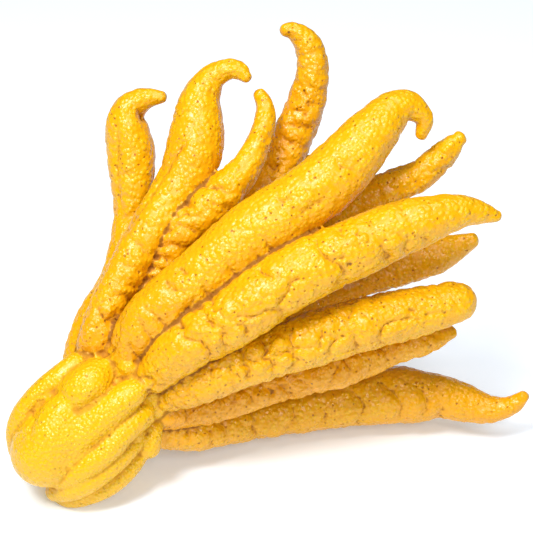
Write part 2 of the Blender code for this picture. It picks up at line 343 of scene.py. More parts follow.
def with_round_ends(line, steps):
    """Adds the rings of a half ball at both ends: centres move on by radius x sin(a), radii shrink by cos(a)."""
    turn = np.radians([25, 45, 62, 76, 88])
    tangent = directions_of(line)
    rings, along = [line], [steps]
    for end, sign in ((0, -1), (-1, 1)):
        radius = line[end, 3]
        centres = line[end, :3] + sign * tangent[end] * (radius * np.sin(turn))[:, None]
        cap = np.concatenate([centres, (radius * np.cos(turn))[:, None]], axis=1)
        distance = steps[end] + sign * radius * np.sin(turn)
        rings = [cap[::-1], *rings] if sign < 0 else [*rings, cap]
        along = [distance[::-1], *along] if sign < 0 else [*along, distance]
    return np.concatenate(rings), np.concatenate(along)


def finger_relief(name, seed, s, a, spot):
    """How far the rind rises in mm at a place s along the finger and at angle a: pillows as 1.5 (1 - exp(-crease /
    edge) - mean), and wrinkles as sines along s that come and go."""
    height, cell_length, cells_round, wrinkle, wrinkle_length = FINGER_RIND[name][:5]
    warp = 0.35 * value_noise(spot, 9.0, seed + 3)
    warp_round = 0.35 * value_noise(spot, 9.0, seed + 4)
    turns = a / (2 * math.pi)
    crease = cells_around(s / cell_length + warp, turns * cells_round + warp_round, cells_round, seed + 5)
    pillows = height * 1.5 * (1 - np.exp(-crease / PILLOW_EDGE) - PILLOW_MEAN)
    ripple = np.sin(2 * math.pi * (s / wrinkle_length + 0.9 * value_noise(spot, 7.0, seed + 12)))
    return pillows + wrinkle * ripple * np.clip(value_noise(spot, 12.0, seed + 13) + 0.45, 0, 1)


def tube_surface(path, name, seed):
    """A closed tube in the hand's frame: point = centre + radius(along, angle) x (cos angle x first + sin angle x
    second). Returns the points and the faces, as quads and as the fans that close the two ends."""
    line, steps = with_round_ends(*smooth_line(path, GRID_STEP))
    reference = np.array([0.0, 1.0, 0.0]) if name.startswith("rear") else np.array([0.0, 0.0, 1.0])
    first, second = side_directions(line, reference)
    count = int(np.clip(round(2 * math.pi * line[:, 3].max() / GRID_STEP), 24, 120))
    angle = np.arange(count) * 2 * math.pi / count
    a, s = np.meshgrid(angle, steps)
    direction = np.cos(a)[..., None] * first[:, None] + np.sin(a)[..., None] * second[:, None]
    radius = np.repeat(line[:, 3:4] + ALLOWANCE, count, axis=1)
    spot = line[:, None, :3] + direction * radius[..., None]
    if name in FINGER_RIND:
        radius = radius * (1 + 0.04 * value_noise(spot, 14.0, seed))
        radius = radius + finger_relief(name, seed, s, a, spot) * np.clip(line[:, 3:4] / 6.0, 0.15, 1.0)
    return closed_grid(line[:, None, :3] + direction * radius[..., None])


def closed_grid(points):
    """Points and faces of a tube grid (rings x points around) with a pole at each end, faces pointing outwards."""
    rings, count = points.shape[:2]
    index = np.arange(rings * count).reshape(rings, count)
    after = np.roll(index, -1, axis=1)
    quads = np.stack([index[:-1], after[:-1], after[1:], index[1:]], axis=-1).reshape(-1, 4)
    poles = np.array([points[0].mean(axis=0), points[-1].mean(axis=0)])
    start, end = rings * count, rings * count + 1
    fan_start = np.stack([np.full(count, start), after[0], index[0]], axis=1)
    fan_end = np.stack([np.full(count, end), index[-1], after[-1]], axis=1)
    return np.concatenate([points.reshape(-1, 3), poles]), quads, np.concatenate([fan_start, fan_end])


# %% [markdown]
# ## All the tubes in one mesh
#
# The fingers, the folds and the heart overlap. Every surface goes into one mesh first, and the remesh below
# turns the overlapping shells into one skin.

# %% Fill one mesh


def in_scene(name, data):
    """A new object in the scene with the given mesh, light or camera."""
    thing = bpy.data.objects.new(name, data)
    bpy.context.scene.collection.objects.link(thing)
    return thing


def make_mesh(name, points, quads, triangles):
    """A Blender mesh from whole arrays: points in metres, then the corners of all quads and of all triangles."""
    mesh = bpy.data.meshes.new(name)
    corners = np.concatenate([quads.reshape(-1), triangles.reshape(-1)]).astype(np.int32)
    starts = np.concatenate([np.arange(len(quads)) * 4, len(quads) * 4 + np.arange(len(triangles)) * 3])
    mesh.vertices.add(len(points))
    mesh.vertices.foreach_set("co", points.astype(np.float32).reshape(-1))
    mesh.loops.add(len(corners))
    mesh.loops.foreach_set("vertex_index", corners)
    mesh.polygons.add(len(starts))
    mesh.polygons.foreach_set("loop_start", starts.astype(np.int32))
    mesh.update(calc_edges=True)
    mesh.validate()
    return mesh


def gather(tubes):
    """Joins (points, quads, triangles) of many tubes by shifting each one's corner numbers."""
    points, quads, triangles = zip(*tubes)
    shifts = np.cumsum([0, *map(len, points)])
    quads, triangles = ([corners + shift for corners, shift in zip(kind, shifts)] for kind in (quads, triangles))
    return np.concatenate(points), np.concatenate(quads), np.concatenate(triangles)


FINGERS = {**FRONT_FINGERS, **REAR_FINGERS}
SMOOTH_PARTS = {**BULB_FOLDS, **THROAT_LOBES, **HEART}
ALL_PATHS = {**FINGERS, **SMOOTH_PARTS}
tubes = [tube_surface(path, name, 100 + 20 * i) for i, (name, path) in enumerate(ALL_PATHS.items())]
shell_points, shell_quads, shell_triangles = gather(tubes)
shells = make_mesh("shells", to_part(shell_points), shell_quads, shell_triangles)
print("overlapping shells:", len(shells.vertices), "points")

# %% [markdown]
# ## One skin
#
# A voxel remesh keeps only the outside of the overlapping shells and joins them, and creases stay where two
# surfaces meet. A light smoothing takes away the steps that the voxels leave.

# %% Remesh
SKIN_VOXEL = 0.58  # mm
FACE_LIMIT = 197_000  # triangles


def modified(mesh, *settings, group=None):
    """The mesh after a list of modifiers, given as (type, {setting: value}). A group holds the numbers of the
    points that a modifier may treat differently."""
    holder = in_scene("holder", mesh)
    if group is not None:
        holder.vertex_groups.new(name="group").add(group, 1.0, "REPLACE")
    for kind, values in settings:
        modifier = holder.modifiers.new(kind.lower(), kind)
        for key, value in values.items():
            setattr(modifier, key, value)
    result = bpy.data.meshes.new_from_object(holder.evaluated_get(bpy.context.evaluated_depsgraph_get()))
    bpy.data.objects.remove(holder, do_unlink=True)
    return result


skin = modified(
    shells,
    ("REMESH", {"mode": "VOXEL", "voxel_size": SKIN_VOXEL * MM}),
    ("SMOOTH", {"factor": 0.5, "iterations": 2}),
)
print("skin:", len(skin.vertices), "points")

# %% [markdown]
# ## Finding one's way on the skin
#
# Each point of the skin belongs to the finger or fold whose path is nearest. The marks that follow are set out
# as seen from straight in front of the hand, so each point also gets the place where an eye there sees it.

# %% Places on the skin
EYE_AIM = np.array([50.6, 45.4, 0.0])  # hand's frame, mm
EYE_DISTANCE = 800.0
PART_NAMES = list(ALL_PATHS)


def fetched(items, name, width, kind=np.float32):
    """One value of every point or edge of a mesh, as a whole array of rows."""
    values = np.empty(len(items) * width, kind)
    items.foreach_get(name, values)
    return values.reshape(-1, width)


def points_and_normals(mesh):
    """The mesh's points in mm and its unit normals, both in the hand's frame."""
    points, normals = (fetched(mesh.vertices, name, 3).astype(float) for name in ("co", "normal"))
    return turned_up(points / MM - THROAT), turned_up(normals)


def turned_up(vectors):
    """Part directions to hand directions: the lean turned back, up = y sin + z cos, out = z sin - y cos."""
    x, y, z = vectors.T
    up = y * math.sin(LEAN_BACK) + z * math.cos(LEAN_BACK)
    out = z * math.sin(LEAN_BACK) - y * math.cos(LEAN_BACK)
    return np.stack([x, up, out], axis=1)


def put_points(mesh, points):
    """Writes points of the hand's frame back to the mesh; nothing may sink below the floor."""
    placed = to_part(points)
    placed[:, 2] = np.maximum(placed[:, 2], 0.0)
    mesh.vertices.foreach_set("co", placed.astype(np.float32).reshape(-1))
    mesh.update()


def seen_places(points):
    """Where an eye in front sees each point: its distance from the aim grows by D / (D - out)."""
    grow = EYE_DISTANCE / (EYE_DISTANCE - points[:, 2])
    return EYE_AIM[:2] + (points[:, :2] - EYE_AIM[:2]) * grow[:, None]


def path_samples():
    """Centre, radius, part number and share of the length for a sample every 3 mm on every path."""
    samples, owner, share = [], [], []
    for number, name in enumerate(PART_NAMES):
        line, steps = smooth_line(ALL_PATHS[name], 3.0)
        samples.append(line)
        owner.append(np.full(len(steps), number))
        share.append(steps / steps[-1])
    return np.concatenate(samples), np.concatenate(owner), np.concatenate(share)


def nearest_sample(points, samples):
    """For each point, the number of the nearest sample once its radius is taken off: |p|^2 - 2 p.c + |c|^2."""
    best = np.empty(len(points), int)
    lengths = (samples[:, :3] ** 2).sum(axis=1)
    for start in range(0, len(points), 20000):
        block = points[start:start + 20000]
        squares = (block**2).sum(axis=1)[:, None] - 2 * block @ samples[:, :3].T + lengths
        best[start:start + 20000] = (np.sqrt(np.maximum(squares, 0)) - samples[:, 3]).argmin(axis=1)
    return best


def smoothed_values(mesh, values, rounds):
    """Averages each point's value with its neighbours along the edges, several times."""
    here, there = fetched(mesh.edges, "vertices", 2, np.int32).T
    flat = values.reshape(len(values), -1).astype(float)
    count = len(flat)
    neighbours = np.bincount(here, minlength=count) + np.bincount(there, minlength=count)
    for _ in range(rounds):
        sums = [np.bincount(here, v[there], count) + np.bincount(there, v[here], count) for v in flat.T]
        flat = (flat + np.stack(sums, axis=1)) / (1 + neighbours[:, None])
    return flat.reshape(values.shape)


SAMPLES, SAMPLE_OWNER, SAMPLE_SHARE = path_samples()
spots, normals = points_and_normals(skin)
nearest = nearest_sample(spots, SAMPLES)
owner = SAMPLE_OWNER[nearest]
print("skin points on fingers:", (owner < len(FINGERS)).sum(), "and on the bulb:", (owner >= len(FINGERS)).sum())

# %% [markdown]
# ## The palm of the bulb
#
# On the real bulb the palm, the lobe above it and the second fold run into each other with soft saddles, while
# the lower folds stay apart. So only those three parts are smoothed, until their seams become soft.

# %% Soften the palm
SOFT_PARTS = ("palm_top", "palm", "palm_bridge", "second_fold")
PALM_ROUNDS = 12

soft = np.isin(owner, [PART_NAMES.index(name) for name in SOFT_PARTS]).astype(float)
soft = np.clip(smoothed_values(skin, soft, 6) * 1.6 - 0.4, 0, 1)
spots += (smoothed_values(skin, spots, PALM_ROUNDS) - spots) * soft[:, None]
put_points(skin, spots)

# %% [markdown]
# ## Creases and knobs of the front
#
# The deep creases that part the lobes of the bulb and the pillows of the fingers have their own places. Each one
# is a line of a few points: across and up in mm as seen from the front, and the depth there. The skin sinks
# along it with a sharp bottom and rounded shoulders.

# %% Lines of the creases
CREASES = {
    "any part": [
        [(-26, 13.5, 0.4), (-24, 11.7, 0.6), (-19.5, 9.8, 0.7), (-13.3, 10.7, 0.7), (-10.3, 13.5, 0.6),
         (-9, 19, 0.5), (-8.5, 24, 0.3)],
        [(-11, 10, 0.3), (-9.7, 5, 0.4), (-7.2, 1.3, 0.4), (-3.5, 0.4, 0.4), (-0.5, 2.5, 0.2)],
        [(-3, -0.5, 0.3), (0, 1.5, 0.6), (3.4, 0, 0.8), (4.7, -3, 0.8), (3.5, -6.5, 0.5)],
        [(1.6, 0.8, 0.2), (5.6, -3.2, 0.4), (10, -3, 0.4)],
    ],
    "bulb": [
        [(-32, -4, 0.3), (-38, -7, 0.5), (-43, -13, 1), (-44.5, -18, 1), (-44, -24, 0.3)],
        [(-45, -19, 0.6), (-47, -22, 0.6), (-49.5, -25, 0.5), (-50.5, -29, 0.2)],
        [(-11, -3, 0.3), (-14, -5.5, 0.5), (-18, -8, 0.6), (-21, -10, 0.6), (-25, -11.5, 0.4), (-29, -8, 0.2),
         (-32, -5, 0.3)],
        [(-14, -22.5, 0.2), (-18, -26.5, 0.4), (-22, -29, 0.4), (-26, -34, 0.2)],
        [(-3, -26, 0.3), (0, -25.5, 0.5), (4, -21, 0.4), (5, -16, 0.3)],
    ],
    "hooked_left": [
        [(-10, 103, 0.3), (-9.5, 95, 0.8), (-10, 85, 0.7), (-9.5, 80, 0.6), (-8.5, 70, 0.5), (-7, 65, 0.5)],
        [(2, 105, 0.9), (0, 107, 0.6), (-1.5, 108.5, 0.3)],
        [(-9.5, 80, 0.5), (-7, 82.5, 0.5), (-4, 82, 0.4)],
        [(-8, 65, 0.6), (-5, 65, 0.5), (-3, 66, 0.3)],
    ],
    "broad_hooked": [
        [(16, 93, 1), (14, 90, 0.9), (10, 84.5, 0.9), (5, 77, 0.8), (3, 73, 0.7), (0, 69, 0.6), (-3, 64, 0.5),
         (-5, 60, 0.5)],
        [(-16, 26, 0.5), (-14, 23.5, 1), (-9, 23, 1), (-8, 24, 1)],
        [(-10, 34, 0.4), (-6, 34, 0.6), (-3, 31.5, 0.7)],
        [(-9, 40, 0.3), (-5, 38, 0.5), (-1, 36.5, 0.7)],
        [(-8, 47, 0.4), (-4, 46, 0.5), (0, 43, 0.6)],
        [(-4, 57, 0.4), (-2, 55, 0.6), (0, 54, 0.6), (2, 51, 0.5)],
    ],
    "slim_curved": [
        [(2, 40, 1), (5, 40.5, 1), (7, 40, 1)],
        [(3, 44.5, 1), (6, 45, 1), (9, 43.5, 1)],
        [(5, 49, 1), (8, 49, 1), (11, 47.5, 1)],
        [(7, 53.5, 1), (11, 54, 1), (16, 53, 1), (18, 52, 0.8)],
        [(11, 60, 0.6), (15, 62, 0.7), (19, 61, 0.7), (22, 59, 0.7)],
        [(15, 66, 0.5), (18, 66.5, 0.7), (22, 65, 0.3)],
        [(18.5, 71, 1), (21, 69, 0.4)],
        [(26, 78, 0.8), (29, 78, 0.9), (32, 77, 0.7), (36, 74, 0.5)],
        [(25, 72, 0.2), (30, 70, 0.4), (35, 68.5, 0.5)],
    ],
    "tall_hooked": [
        [(60, 103, 0.6), (64, 101, 0.7), (68, 101, 0.6)],
        [(50, 87, 0.6), (53, 84.5, 0.8), (56, 86, 0.6)],
        [(62, 112, 0.3), (65, 115, 0.9), (67, 113, 0.4), (68, 110, 0.6)],
        [(62, 108, 0.7), (64, 107, 0.6), (66, 106, 0.3)],
        [(57, 97, 0.4), (60, 95, 0.6), (63, 95, 0.3)],
    ],
    "thick_middle": [
        [(0, 7, 0.5), (-2.3, 9.7, 0.9), (-4.6, 13.7, 0.5)],
        [(-1, 24.5, 0.4), (2, 19, 0.8), (5, 16, 0.5)],
        [(4.5, 27.5, 0.5), (8, 23, 0.8), (11, 20.5, 0.5)],
        [(10, 39, 0.6), (13.5, 36, 0.8), (15, 35.5, 0.5)],
        [(15.5, 44.5, 0.6), (17.5, 43, 0.7), (19.5, 42.5, 0.4)],
        [(23, 33, 0.3), (20, 29, 0.7), (17.5, 25.5, 1)],
        [(25.5, 37, 0.4), (27, 34.5, 0.6), (28, 31.5, 0.8)],
        [(35, 45, 0.5), (38, 42, 0.6), (40, 40, 0.7)],
        [(50, 55.5, 0.5), (52, 52.5, 0.7), (54, 51, 0.8)],
        [(46, 51, 0.4), (48, 48.5, 0.6), (48.5, 46.5, 0.8)],
        [(62, 64, 0.2), (65, 66.5, 0.5), (68, 68.5, 0.5), (73, 72, 0.4), (76, 76, 0.3)],
        [(79, 88, 0.3), (81, 85, 0.5), (85, 84, 0.4), (87, 86, 0.3)],
        [(55, 72, 0.5), (57.5, 71, 0.7), (60, 72.5, 0.4)],
    ],
    "long_lumpy": [
        [(16, 22, 1), (17, 18, 1), (19, 16.5, 1.1), (24.5, 15, 1), (27, 11.5, 1.2), (28.5, 9, 1.2)],
        [(24.5, 29, 0.8), (25.5, 25, 0.9), (29, 22.5, 1.1), (32, 20.5, 1.1), (34, 17, 1.2), (34.5, 12.5, 1.2)],
        [(28, 32, 0.8), (28.5, 29, 0.7), (30.5, 26, 0.3)],
        [(37, 23, 0.4), (40.5, 25.5, 0.6), (47.5, 25, 0.6), (50.5, 27, 0.7), (56, 27, 1), (58, 25, 1)],
        [(43.5, 18.5, 1.2), (41.5, 21, 0.8), (38.5, 22, 0.4)],
        [(63.5, 40.5, 0.8), (61.5, 39, 0.9), (60, 36.5, 1), (59.5, 34, 1), (57.5, 31.5, 1), (56, 27, 1)],
        [(48, 44.5, 1), (50, 42, 0.7), (52.5, 41, 0.4)],
        [(70, 57, 0.8), (71, 53, 0.8), (73, 50.5, 0.9), (77, 47, 1.1), (80, 45.5, 0.9), (82.5, 43, 1),
         (82.5, 40.5, 1.1), (80, 37.5, 1)],
        [(76.5, 46.5, 1), (79, 48, 0.9), (82, 49, 0.5)],
        [(83, 39, 0.7), (84, 42, 0.6), (84, 45.5, 0.8), (86, 47.5, 0.3)],
        [(97, 54, 0.4), (99, 50, 1), (99.5, 48, 1.2)],
        [(107.5, 57, 0.4), (107.5, 54, 0.8), (106.5, 51, 1)],
        [(80, 61, 0.9), (81, 58, 0.5), (80, 55, 0.2)],
        [(91, 66, 0.5), (93, 62, 0.5), (97, 60, 0.2)],
        [(104, 69.5, 0.5), (106, 66, 0.5), (109, 63, 0.2)],
        [(115, 55.5, 0.8), (114, 58, 0.4)],
    ],
    "blunt": [
        [(41, 10.5, 1), (41.5, 6.5, 1.1), (43.5, 3.5, 1.2), (44, 0.5, 1.2)],
        [(40, 12, 0.8), (42, 8.5, 0.9), (45.5, 7, 0.9), (49, 7, 1), (51, 12, 1.1), (49, 16, 1), (47.5, 18, 0.8)],
        [(36, 5.5, 0.8), (37, 2, 0.7), (40, 0, 0.5)],
        [(49, 7, 0.9), (52, 8.5, 1), (57.5, 10, 1), (61.5, 12, 1.1), (65, 12.5, 0.8), (68.5, 13, 0.7),
         (72.5, 12.5, 0.6)],
        [(52, 8.5, 0.9), (52.5, 6.5, 1), (54.5, 3.5, 1.2)],
        [(61.5, 12, 1), (62.5, 8, 1), (63.5, 6.5, 1), (61.5, 5, 1)],
        [(61.5, 12, 0.9), (60.5, 16, 0.7), (60, 21, 0.6)],
        [(51, 12, 0.6), (52, 17, 0.6), (53, 20, 0.5)],
        [(72.5, 20, 0.8), (73.5, 18, 0.9), (72.5, 13, 0.8)],
        [(76, 10.5, 1), (77, 14, 0.8), (79, 15.5, 0.9), (82, 17.5, 0.5)],
        [(85.5, 17, 0.5), (87, 14, 0.8), (87, 12, 1)],
        [(97.5, 21.5, 0.7), (97, 18, 1), (96.5, 15, 1.2)],
        [(97.5, 21.5, 0.7), (101, 23, 0.8), (107, 24.5, 0.6), (113, 24, 0.4)],
        [(108, 28, 0.5), (115, 26, 0.5), (122, 27, 0.4)],
        [(83.5, 25, 0.7), (85, 29.5, 0.6), (84, 32.5, 0.5)],
        [(90.5, 28.5, 0.6), (93, 31, 0.5), (93, 35, 0.5)],
    ],
    "right_lower": [
        [(18.5, -11.5, 0.9), (19, -15, 0.9), (19, -17.5, 1)],
        [(22.5, -17.5, 0.7), (23, -14.5, 0.3)],
        [(44.5, -5, 0.7), (45, -7.5, 0.9), (45, -9.5, 1)],
        [(50.5, -3.5, 0.9), (52.5, -5, 1), (53, -7.5, 0.8), (52, -9, 0.8)],
        [(56.5, -2.5, 0.7), (59.5, -5.5, 0.8), (61, -7.5, 0.9)],
        [(63.5, 0.5, 0.6), (66, -1.5, 0.5), (69, -4.5, 0.8)],
        [(78, 7, 0.4), (79.5, 5, 0.8), (77, 1, 0.7), (75.5, -3.5, 0.8)],
        [(81, 9.5, 0.5), (83.5, 6, 0.7), (84, 3, 0.5), (83, 0.5, 0.4)],
        [(93, 9, 0.4), (93, 6, 0.7), (91.5, 3, 0.8)],
        [(95, 14.5, 0.6), (98.5, 11, 0.8), (99.5, 8, 0.6)],
    ],
    "lowest_long": [
        [(19.5, -20.5, 0.7), (20, -24.5, 0.5)],
        [(29, -20.5, 0.8), (29.5, -23.5, 0.7), (29, -26.5, 0.7)],
        [(33, -17, 0.6), (35, -20.5, 0.5), (36, -25, 0.4)],
        [(45, -13, 1), (46, -16, 1), (45.5, -19.5, 1), (47, -23, 1)],
        [(61.5, -10.5, 0.9), (62.5, -15, 1), (60.5, -18, 0.8), (59.5, -20.5, 0.7)],
        [(73, -10, 0.3), (74.5, -14.5, 0.9), (73, -18, 0.6)],
        [(84, -4, 0.5), (88, -7, 0.8), (89.5, -11, 0.8), (89, -15, 0.7), (87, -18, 0.8)],
        [(97, -1, 0.6), (101, -4, 0.9), (104, -8, 0.9), (105, -11, 0.8), (104, -15, 0.7)],
        [(108, 0, 0.3), (113, -4, 0.6), (115, -8, 0.7), (114.5, -12, 0.6), (113, -15, 0.4)],
        [(120, -15.5, 0.8), (121, -12, 0.5), (121, -9, 0.2)],
    ],
}

# name: round knobs as (across, up, radius, height)
KNOBS = {
    "broad_hooked": [(-13, 28, 4, 0.9)],
    "blunt": [
        (30.5, 3, 2.4, 0.9), (41, 3, 2.6, 0.8), (28, 6.5, 2.5, 0.5), (34, 8, 3, 0.5), (46, 12.5, 4.5, 0.7),
        (48.5, 4.5, 3.6, 0.6), (58, 7.5, 4, 0.6), (56, 16, 4.5, 0.6), (75, 22, 5, 0.8), (90, 22, 4, 0.5),
        (101, 19, 4, 0.6),
    ],
    "right_lower": [(41, -7, 3.2, 1), (48.5, -6, 4, 0.6), (57, -6, 4, 0.6)],
    "long_lumpy": [(89, 57, 2.5, 0.6), (52, 44, 4, 0.5), (75, 42, 7, 0.5), (102, 54, 4.5, 0.6)],
    "thick_middle": [(57.5, 73.5, 1.9, 0.5)],
}


CREASE_BOTTOM, CREASE_SHOULDER = 0.8, 2.2  # mm, how fast the sharp bottom and the round shoulders run out


def crease_depth(seen, lines):
    """How deep the skin sinks: depth x (exp(-d / bottom) + 1.5 exp(-d / shoulder)), where d is the distance to the
    nearest piece of a line and the depth is blended between the piece's ends. The deepest crease counts."""
    deepest = np.zeros(len(seen))
    for line in lines:
        knots = np.array(line, float)
        for start, end in zip(knots[:-1], knots[1:]):
            piece = end[:2] - start[:2]
            share = np.clip(((seen - start[:2]) @ piece) / (piece @ piece), 0, 1)
            distance = np.linalg.norm(seen - start[:2] - share[:, None] * piece, axis=1)
            depth = start[2] + (end[2] - start[2]) * share
            shape = np.exp(-distance / CREASE_BOTTOM) + 1.5 * np.exp(-distance / CREASE_SHOULDER)
            deepest = np.maximum(deepest, depth * shape)
    return deepest


def knob_height(seen, knobs):
    """Domes of height x (1 - (d / r)^2)^2 inside the radius, with a ring 0.6 mm wide sunk around each."""
    height = np.zeros(len(seen))
    for across, up, radius, top in knobs:
        distance = np.hypot(seen[:, 0] - across, seen[:, 1] - up) / radius
        ring = np.exp(-(((distance - 1) * radius / 0.6) ** 2))
        height += top * np.clip(1 - distance**2, 0, 1) ** 2 - 0.35 * top * ring
    return height


def owned_by(owner, group):
    """True where the part's number belongs to the named finger, to any fold for the bulb, or everywhere."""
    if group == "any part":
        return owner >= 0
    return owner >= len(FINGERS) if group == "bulb" else owner == PART_NAMES.index(group)


def step_up(values, low, high):
    """0 below low, 1 above high, and 3x^2 - 2x^3 between."""
    x = np.clip((values - low) / (high - low), 0, 1)
    return x * x * (3 - 2 * x)


STEM_END = np.array([-50.0, -33.0, -14.0])  # where the stem was cut off, on the far side of the bulb, mm


def distance_from_stem(spots):
    """Distance in mm from the point of the skin that lies nearest to the stem end."""
    return np.linalg.norm(spots - spots[np.linalg.norm(spots - STEM_END, axis=1).argmin()], axis=1)


# %% Press in the creases, raise the knobs and cobbles
DEEPEST = 1.9  # mm, as deep as a crease may go
COBBLE_SIZE, COBBLE_SEAM = 6.0, 0.45  # mm, and the seam's width as a share of a cobble
SCAR_RIM = 5.6, 1.7, 0.7  # mm: radius, width and height of the rim round the stem scar
SCAR_DISH = 4.8, 2.0  # mm: radius and depth of the scar

spots, normals = points_and_normals(skin)
waver = np.stack([value_noise(spots, 3.0, 31), value_noise(spots, 3.0, 32)], axis=1) * 0.5
seen = seen_places(spots) + waver  # so that no crease runs dead straight
facing = step_up(normals[:, 2], -0.25, 0.2)
rise = np.zeros(len(spots))
for group, lines in CREASES.items():
    mine = owned_by(owner, group) & (facing > 0)
    rise[mine] -= crease_depth(seen[mine], lines) * facing[mine]
# 1 on open rind and down to 0.15 in the valleys between fingers, where the relief fades
calm = 1 - 0.85 * step_up(((smoothed_values(skin, spots, 12) - spots) * normals).sum(axis=1), 0.15, 0.9)
rise = np.maximum(smoothed_values(skin, rise, 1), -DEEPEST) * (0.4 + 0.6 * calm)
for group, knobs in KNOBS.items():
    mine = owned_by(owner, group) & (facing > 0)
    rise[mine] += knob_height(seen[mine], knobs) * facing[mine]


def rind_values(owner, share, column, bulb_value):
    """A value of the rind table blended along each finger from its listed places, and one value on the bulb."""
    result = np.full(len(owner), float(bulb_value))
    for number, name in enumerate(FINGERS):
        listed = FINGER_RIND[name][column]
        mine = owner == number
        result[mine] = np.interp(share[mine], np.linspace(0.08, 1, len(listed)), listed)
    return result


cobble_height = smoothed_values(skin, rind_values(owner, SAMPLE_SHARE[nearest], 5, 0.08), 6)
bent = spots + 0.7 * np.stack([value_noise(spots, 4.0, seed) for seed in (61, 62, 63)], axis=1)
cobbles = 0.45 - np.exp(-cells_in_space(bent, COBBLE_SIZE, 71) / COBBLE_SEAM)
rise += calm * cobble_height * 2.4 * cobbles * (0.7 + 0.6 * value_noise(spots, 14.0, 72))
from_stem = distance_from_stem(spots)
print("stem scar faces", normals[from_stem.argmin()].round(2))
rise += SCAR_RIM[2] * np.exp(-(((from_stem - SCAR_RIM[0]) / SCAR_RIM[1]) ** 2))
rise -= SCAR_DISH[1] * np.clip(1 - (from_stem / SCAR_DISH[0]) ** 2, 0, 1)
spots = spots + normals * rise[:, None]
put_points(skin, spots)

# %% [markdown]
# ## Fewer faces
#
# The fine skin now has far more faces than its shape needs. Collapsing edges where the skin is nearly flat keeps
# every crease and knob within the budget.

# %% Simplify
BACK_SHARE = 0.58  # faces left when only the far side is simplified
away = np.flatnonzero(normals[:, 2] < -0.15).tolist()
plainer = modified(skin, ("DECIMATE", {"ratio": BACK_SHARE, "vertex_group": "group"}), group=away)
left = sum(len(p.vertices) - 2 for p in plainer.polygons)
rind = modified(plainer, ("DECIMATE", {"ratio": min(1.0, FACE_LIMIT / left)}))
rind.name = "citron_rind"
rind.shade_smooth()
print(2 * len(skin.polygons), "triangles, then", left, "after the far side and", len(rind.polygons), "on the rind")

# %% [markdown]
# ## Where the colour changes
#
# The bulb is lemon yellow, and the fingers turn orange: partly their own tone, partly painted shade at the roots
# and in sheltered places. Each point of the rind looks up the nearest path, and takes the tint and painted shade
# that belong to that place on it. More values say how deep the point lies in a crease or a groove, and whether two
# fingers or folds part there; the material paints shade by these.

# %% Paint values on the points
# name: soft orange patches, partly the rind's own tone and partly painted shade, as (across, up, radius, strength)
ORANGE_AND_SHADE_PATCHES = {
    "tall_hooked": [(63, 111, 9, 0.6), (55, 97, 7, 0.5)],
    "broad_hooked": [(-16, 18, 8, 0.4), (9, 84, 5, 0.5), (14, 92, 5, 0.5), (-1, 66, 5, 0.5), (17, 104, 5, 0.3)],
    "thick_middle": [(0, 16, 10, 0.4), (10, 30, 10, 0.3), (70, 62, 8, 0.3), (82, 72, 6, 0.3)],
    "slim_curved": [(12, 55, 8, 0.5), (17, 62, 5, 0.3)],
    "hooked_left": [(-8, 60, 8, 0.4)],
    "long_lumpy": [(53, 43, 4, 0.4), (42, 24, 4, 0.3)],
}


def store(mesh, name, values):
    """Writes one number for each point as a named attribute."""
    attribute = mesh.attributes.new(name, "FLOAT", "POINT")
    attribute.data.foreach_set("value", values.astype(np.float32))


spots, normals = points_and_normals(rind)
nearest = nearest_sample(spots, SAMPLES)
owner = SAMPLE_OWNER[nearest]
# each finger's own orange tone, with painted shade at the roots and in sheltered places
tint_and_shade = rind_values(owner, SAMPLE_SHARE[nearest], 6, 0.1)
seen = seen_places(spots)
# orange tone and painted shade in patches on the front of the fingers
for name, patches in ORANGE_AND_SHADE_PATCHES.items():
    mine = owned_by(owner, name) & (normals[:, 2] > 0)
    for across, up, radius, strength in patches:
        distance = np.hypot(seen[mine, 0] - across, seen[mine, 1] - up) / radius
        tint_and_shade[mine] += strength * np.exp(-(distance**2))
tint_and_shade = smoothed_values(rind, tint_and_shade, 8)
bulb = smoothed_values(rind, (owner >= len(FINGERS)).astype(float), 3)
for name, rounds in (("crease", 2), ("groove", 6)):
    depth = ((smoothed_values(rind, spots, rounds) - spots) * normals).sum(axis=1)
    store(rind, name, depth)
    print(name, "percentiles:", np.percentile(depth, (5, 50, 80, 90, 95, 99)).round(2), "mm")
here, there = fetched(rind.edges, "vertices", 2, np.int32).T
parts = owner[here] != owner[there]
parted = np.zeros(len(spots))
parted[here[parts]] = parted[there[parts]] = 1
parted = smoothed_values(rind, parted * step_up(depth, 0.0, 0.3), 1)  # only in a groove, the depth found last
store(rind, "parted", np.clip(parted * 1.6, 0, 1))
print("points where two fingers or folds part:", (parted > 0.3).sum())
cobbled = rind_values(owner, SAMPLE_SHARE[nearest], 5, 0.0) / 0.6
store(rind, "cobbled", smoothed_values(rind, cobbled, 6))
store(rind, "scar", 1 - step_up(distance_from_stem(spots) + 0.5 * value_noise(spots, 1.2, 91), 2.4, 3.4))
store(rind, "tint_and_shade", np.clip(tint_and_shade, 0, 1))
store(rind, "bulb", np.clip(bulb, 0, 1))

# %% [markdown]
# ## The finish of the rind
#
# Citrus rind is waxy: light goes a little way in and comes out warm, and the wax gives a soft gloss that the
# pebbles break up. The colour is a mix of lemon, golden yellow and orange, with fine darker glands. Painted shade
# darkens the valleys between pebbles, the grooves and creases, and the lines where two fingers or folds part. A few
# marks where the rind has rubbed are brown, and the stem scar is cork.

